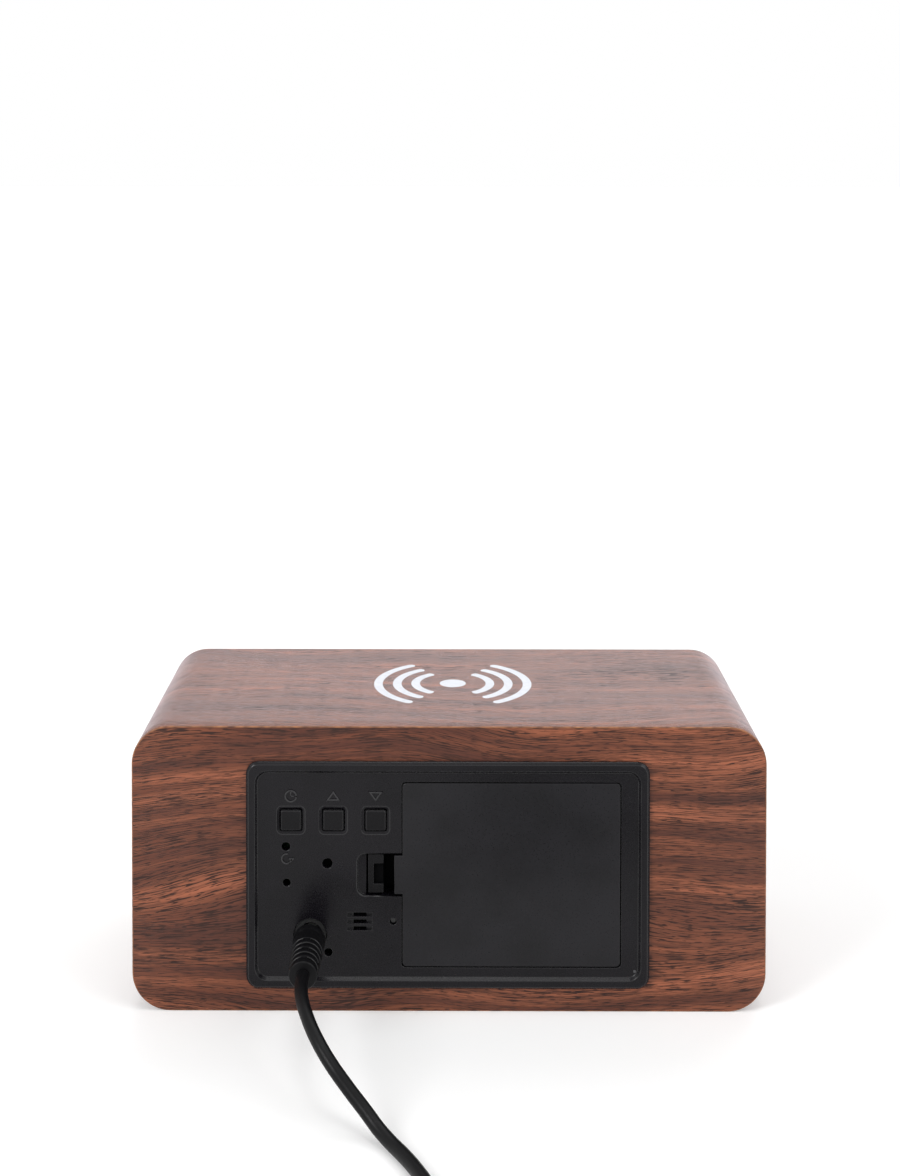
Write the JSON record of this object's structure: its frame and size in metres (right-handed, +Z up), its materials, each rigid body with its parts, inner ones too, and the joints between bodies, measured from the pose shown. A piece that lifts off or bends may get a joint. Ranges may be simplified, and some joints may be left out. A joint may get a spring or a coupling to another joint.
{
  "type": "digital alarm clock",
  "caption": "Wood-cased desk alarm clock with a charging top, black rear panel with buttons, latched battery door, barrel jack and a plugged-in USB power lead.",
  "frame": {"origin": "on the surface the clock stands on, under the middle of the clock without its power lead", "axes": "+Z up, +X along the clock's length, the display faces -Y and the black rear panel faces +Y"},
  "size_m": [0.15, 0.2086, 0.068],
  "materials": {
    "walnut_foil": "satin walnut-grain foil wrap",
    "fibreboard": "raw medium-density fibreboard",
    "black_abs": "fine spark-eroded ABS",
    "cap_abs": "smooth satin ABS",
    "cord_vinyl": "matte soft vinyl",
    "white_abs": "matte moulded",
    "circuit_laminate": "green solder mask",
    "nickel_plate": "bright nickel plate",
    "zinc_screw": "zinc-plated steel",
    "copper_wire": "enamelled copper winding",
    "ferrite": "sintered matte",
    "grey_cable": "matte cable jacket"
  },
  "bodies": {
    "clock": {"case_sleeve": "walnut_foil", "front_board": "fibreboard", "front_film": "walnut_foil", "rear_board": "walnut_foil", "rear_panel": "black_abs", "set_switch": "cap_abs", "up_switch": "cap_abs", "down_switch": "cap_abs", "reset_switch": "cap_abs", "control_board": "circuit_laminate", "board_screw_1": "zinc_screw", "board_screw_2": "zinc_screw", "board_screw_3": "zinc_screw", "microphone": "nickel_plate", "buzzer": "cap_abs", "temperature_sensor": "cap_abs", "dc_jack": "cap_abs", "bridge_contact_1": "nickel_plate", "bridge_contact_2": "nickel_plate", "bridge_contact_3": "nickel_plate", "minus_contact": "nickel_plate", "plus_contact": "nickel_plate", "battery_spring_1": "nickel_plate", "battery_spring_2": "nickel_plate", "battery_spring_3": "nickel_plate", "battery_spring_4": "nickel_plate", "display_reflector": "white_abs", "display_board": "circuit_laminate", "display_screw_1": "zinc_screw", "display_screw_2": "zinc_screw", "display_screw_3": "zinc_screw", "display_screw_4": "zinc_screw", "charging_coil": "copper_wire", "ferrite_plate": "ferrite", "coil_tray": "white_abs", "charging_board": "circuit_laminate", "tray_screw_1": "zinc_screw", "tray_screw_2": "zinc_screw", "display_ribbon": "grey_cable", "charger_cable": "grey_cable"},
    "door": {"battery_door": "black_abs"},
    "latch": {"door_latch": "black_abs"},
    "set_key": {"set_button": "cap_abs", "set_switch_plunger": "cap_abs"},
    "up_key": {"up_button": "cap_abs", "up_switch_plunger": "cap_abs"},
    "down_key": {"down_button": "cap_abs", "down_switch_plunger": "cap_abs"},
    "reset_key": {"reset_plunger": "white_abs"},
    "power_lead": {"plug_barrel": "nickel_plate", "plug_grip": "cord_vinyl", "lead_cord": "cord_vinyl", "lead_coil": "cord_vinyl", "coil_tie": "cord_vinyl", "usb_grip": "cord_vinyl", "usb_shell": "nickel_plate", "usb_tongue": "white_abs"}
  },
  "joints": [
    {"name": "set_press", "type": "slide", "parent": "clock", "child": "set_key", "axis": [0, -1, 0], "range_m": [0, 0.0006], "stiffness_N_per_m": 300, "springref_m": -0.001},
    {"name": "up_press", "type": "slide", "parent": "clock", "child": "up_key", "axis": [0, -1, 0], "range_m": [0, 0.0006], "stiffness_N_per_m": 300, "springref_m": -0.001},
    {"name": "down_press", "type": "slide", "parent": "clock", "child": "down_key", "axis": [0, -1, 0], "range_m": [0, 0.0006], "stiffness_N_per_m": 300, "springref_m": -0.001},
    {"name": "reset_press", "type": "slide", "parent": "clock", "child": "reset_key", "axis": [0, -1, 0], "range_m": [0, 0.00025], "stiffness_N_per_m": 300, "springref_m": -0.001},
    {"name": "door_hinge", "type": "hinge", "parent": "clock", "child": "door", "pos_m": [-0.04045, 0.03315, 0.0328], "axis": [0, 0, 1], "range_deg": [0, 75]},
    {"name": "latch_slide", "type": "slide", "parent": "door", "child": "latch", "axis": [-1, 0, 0], "range_m": [0, 0.0012], "stiffness_N_per_m": 300, "springref_m": -0.001},
    {"name": "plug_pull", "type": "slide", "parent": "clock", "child": "power_lead", "axis": [0, 1, 0], "range_m": [0, 0.01]}
  ]
}
